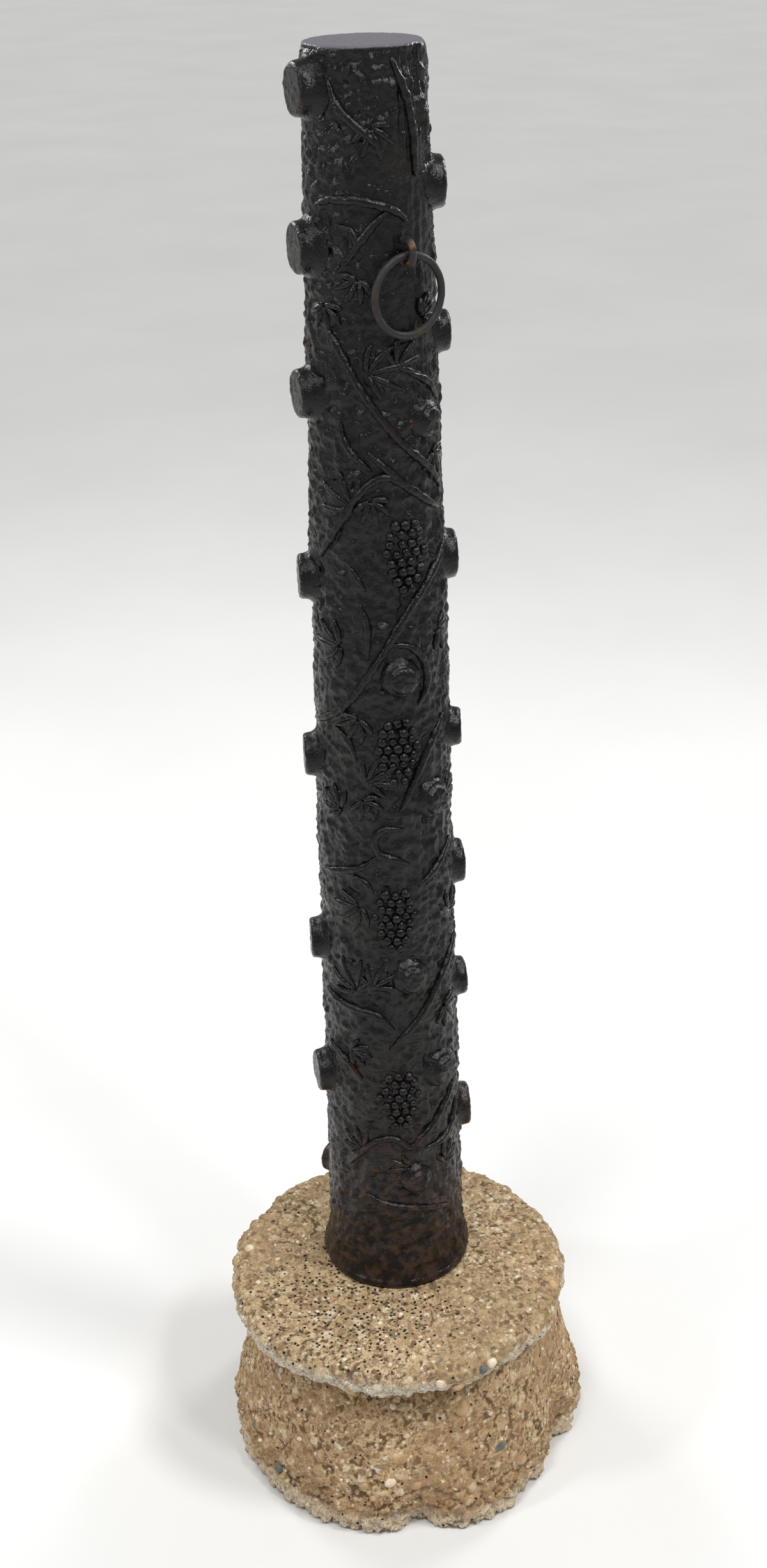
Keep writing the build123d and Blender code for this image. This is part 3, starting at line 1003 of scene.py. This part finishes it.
def concrete(name, tints, wash, pit_share, pit_place, pale_level):
    """Exposed-aggregate concrete: sandy paste packed with grit, bedded stones, brown painted shade in the
    crevices, a muddy wash in places, pits darkened with painted shade, and a chalky lower edge."""
    nodes = Nodes(name)
    dark, low, high, chalk, crevice_painted_shade = tints
    broad = nodes.noise(11, 5, 0.62)
    sand = nodes.noise(420, 5, 0.75)
    paste = nodes.ramp(broad, [(0.34, low), (0.66, high)])
    # Painted shadow: the dark tint fills the sand's low spots, as shade between its grains
    sandy = nodes.mix(nodes.mask(sand, 0.58, 0.34), paste, dark)
    gritty, grit_here = stones_in(nodes, 215, GRIT_COLOURS, sandy, 0.75, 0.40)
    coarse, coarse_here = stones_in(nodes, 135, GRIT_COLOURS, gritty, 0.36, 0.36)
    stony, stones_here = stones_in(nodes, 80, STONE_COLOURS, coarse, 0.15, 0.32)

    hollow = nodes.carried("hollow")
    own = nodes.ramp(nodes.carried("tint"), GRIT_COLOURS)
    tinted = nodes.mix(nodes.mask(hollow, 0.50, 0.20), stony, nodes.mix(0.55, stony, own))
    # Painted shade: the crevice tint darkens the hollows between the stones
    shaded = nodes.mix(nodes.mask(hollow, 0.58, 0.90), tinted, crevice_painted_shade)
    washed = nodes.mix(nodes.mask(broad, 0.56, 0.40), shaded, nodes.mix(wash, shaded, low))

    height = nodes.split("ShaderNodeSeparateXYZ", nodes.place)["Z"]
    wavering = nodes.maths("ADD", height, nodes.times(broad, -0.030))
    low_edge = nodes.mask(wavering, pale_level, pale_level - 0.012)
    chalky = nodes.times(low_edge, nodes.mask(sand, 0.34, 0.55))
    paled = nodes.mix(nodes.times(chalky, 0.75), washed, chalk)

    pitted = pits_in(nodes, pit_share, pit_place)
    # Painted shade: the pits are painted near-black, as the shade inside holes that exist only as bump
    nodes.surface("Base Color", nodes.mix(pitted, paled, (0.030, 0.023, 0.017)))
    nodes.surface("Roughness", 0.86)
    nodes.surface("Specular IOR Level", 0.22)
    nodes.bump(sand, 0.9, 0.0022)
    nodes.bump(grit_here, 0.5, 0.0012)
    nodes.bump(coarse_here, 0.5, 0.0016)
    nodes.bump(stones_here, 0.4, 0.0018)
    nodes.bump(nodes.times(pitted, -1.0), 0.8, 0.0022)
    return nodes.material


def stone(name, dark, light):
    """A pebble's colour, mottled, with a little grit on it."""
    nodes = Nodes(name)
    fine = nodes.noise(900, 3)
    mottled = nodes.ramp(nodes.noise(90, 2), [(0.35, dark), (0.62, light)])
    nodes.surface("Base Color", nodes.mix(nodes.mask(fine, 0.35, 0.9), mottled, light))
    nodes.surface("Roughness", 0.62)
    nodes.bump(fine, 0.3, 0.0004)
    return nodes.material


def plain_floor():
    """The studio floor's pale material."""
    nodes = Nodes("studio_floor")
    cloud = nodes.noise(1.5, 3)
    nodes.surface("Base Color", nodes.ramp(cloud, [(0.3, (0.70, 0.70, 0.69)), (0.7, (0.74, 0.74, 0.73))]))
    nodes.surface("Roughness", 0.9)
    return nodes.material


def dress(piece, body, material):
    """Give a piece its material and the body it rides on."""
    piece.data.materials.clear()
    piece.data.materials.append(material)
    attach(piece, body)


# The studio

CAMERA_AZIMUTH = -32.0
CAMERA_DISTANCE = 1.649
CAMERA_HEIGHT = 1.3875
CAMERA_PITCH = math.radians(26.84)
CAMERA_ROLL = -0.0289
LENS = 44.54
AIM_HEIGHT = 0.8
SUN_SPREAD = math.radians(11)
FLOOR_REACH = 40.0


def camera():
    """The camera, held a little rolled, looking down at the post from its left front."""
    turn = math.radians(CAMERA_AZIMUTH)
    right = around(turn + math.pi / 2, 1.0, 0.0)
    ahead = around(turn, -math.cos(CAMERA_PITCH), -math.sin(CAMERA_PITCH))
    up = np.cross(right, ahead)
    rolled_right = math.cos(CAMERA_ROLL) * right + math.sin(CAMERA_ROLL) * up
    rolled_up = -math.sin(CAMERA_ROLL) * right + math.cos(CAMERA_ROLL) * up
    place = around(turn, CAMERA_DISTANCE, SLAB_TOP + CAMERA_HEIGHT)
    data = bpy.data.cameras.new("camera")
    data.lens = LENS
    data.sensor_width = 36
    made = bpy.data.objects.new("camera", data)
    frame_matrix = Matrix.Identity(4)
    for row in range(3):
        frame_matrix[row][0] = rolled_right[row]
        frame_matrix[row][1] = rolled_up[row]
        frame_matrix[row][2] = -ahead[row]
        frame_matrix[row][3] = place[row]
    made.matrix_world = frame_matrix
    bpy.context.scene.collection.objects.link(made)
    bpy.context.scene.camera = made


def aim_light(name, data, place, target):
    """Puts a light in the scene, shining from its place to the target."""
    made = bpy.data.objects.new(name, data)
    back = place - target
    made.location = place
    made.rotation_mode = "QUATERNION"
    made.rotation_quaternion = Matrix(aimed(back / np.linalg.norm(back))).to_quaternion()
    bpy.context.scene.collection.objects.link(made)


def area_light(name, azimuth, distance, height, size, power):
    """A soft square light aimed at the middle of the post's axis."""
    data = bpy.data.lights.new(name, "AREA")
    data.size = size
    data.energy = power
    aim_light(name, data, around(math.radians(azimuth), distance, height), np.array((0, 0, AIM_HEIGHT)))


def sun_light(azimuth, elevation, strength):
    """A far light that brightens the whole floor evenly and glints on the relief."""
    data = bpy.data.lights.new("broad", "SUN")
    data.energy = strength
    data.angle = SUN_SPREAD
    rise = math.radians(elevation)
    aim_light("broad", data, around(math.radians(azimuth), math.cos(rise), math.sin(rise)), np.zeros(3))


def studio():
    """A wide pale floor, a pale world and soft lights."""
    corners = [(x * FLOOR_REACH, y * FLOOR_REACH, 0) for x, y in ((-1, -1), (1, -1), (1, 1), (-1, 1))]
    ground = mesh_object("studio_floor", corners, [(0, 1, 2, 3)], smooth=False)
    ground.data.materials.append(plain_floor())
    bpy.context.scene.view_settings.view_transform = "Standard"
    world = bpy.data.worlds.new("studio")
    bpy.context.scene.world = world
    world.use_nodes = True
    background = world.node_tree.nodes["Background"]
    background.inputs["Color"].default_value = (1.0, 0.99, 0.97, 1)
    background.inputs["Strength"].default_value = 0.30
    sun_light(35, 58, 1.1)
    sun_light(-60, 68, 0.8)
    area_light("key", 5, 2.0, 3.0, 0.35, 26)
    area_light("left", -95, 2.2, 2.4, 0.35, 18)
    area_light("right", 100, 2.0, 2.0, 0.60, 20)
    area_light("back", -170, 2.2, 2.2, 0.80, 24)


def dress_trunk():
    """The trunk, its relief and its hitch."""
    paint = iron_paint()
    for piece in (trunk_bark(), trunk_vines(), trunk_leaves(), trunk_grapes()):
        dress(piece, "post", paint)
    dress(hitching_staple(), "post", rusty_iron("rusty_staple", STAPLE_RUST, 0.33))
    dress(hitching_ring(), "ring", rusty_iron("worn_ring", RING_RUST, 0.27))


def dress_footing():
    """Both pours and the pebbles in them."""
    upper = concrete("upper_concrete", UPPER_TINTS, 0.30, 0.60, (-0.080, -0.055, SLAB_TOP), SLAB_TOP - 0.022)
    lower = concrete("lower_concrete", LOWER_TINTS, 0.45, 0.0, (0, 0, SLAB_TOP), 0.016)
    slab = footing_slab()
    lump = footing_lump()
    dress(slab, "post", upper)
    dress(lump, "post", lower)
    pale = stone("pale_stone", (0.50, 0.38, 0.24), (0.76, 0.66, 0.50))
    tan = stone("tan_stone", (0.30, 0.17, 0.08), (0.54, 0.36, 0.18))
    dark = stone("dark_stone", (0.055, 0.06, 0.06), (0.15, 0.16, 0.15))
    kinds = (
        ("pale_pebbles", 110, (0.0012, 0.0034), 51, pale, PALE_PLACES),
        ("tan_pebbles", 180, (0.0012, 0.0042), 52, tan, TAN_PLACES),
        ("dark_pebbles", 24, (0.0012, 0.0028), 53, dark, DARK_PLACES),
    )
    for name, count, sizes, seed, material, places in kinds:
        made = pebbles(name, count, sizes, seed, (slab, lump, lump, lump), places)
        dress(made, "post", material)


def dress_hidden():
    """The unseen pieces inside the footing keep their own shape, in plain rough materials."""
    fill = concrete("fill_concrete", FILL_TINTS, 0.30, 0.0, (0, 0, SLAB_TOP), 0.0)
    bar = rusty_iron("bar_rust", BAR_RUST, 0.40)
    for name, material in (("root_fill", fill), ("root_bar_1", bar), ("root_bar_2", bar)):
        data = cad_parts[name].data
        data.materials.clear()
        data.materials.append(material)


camera()
studio()
dress_trunk()
dress_footing()
dress_hidden()
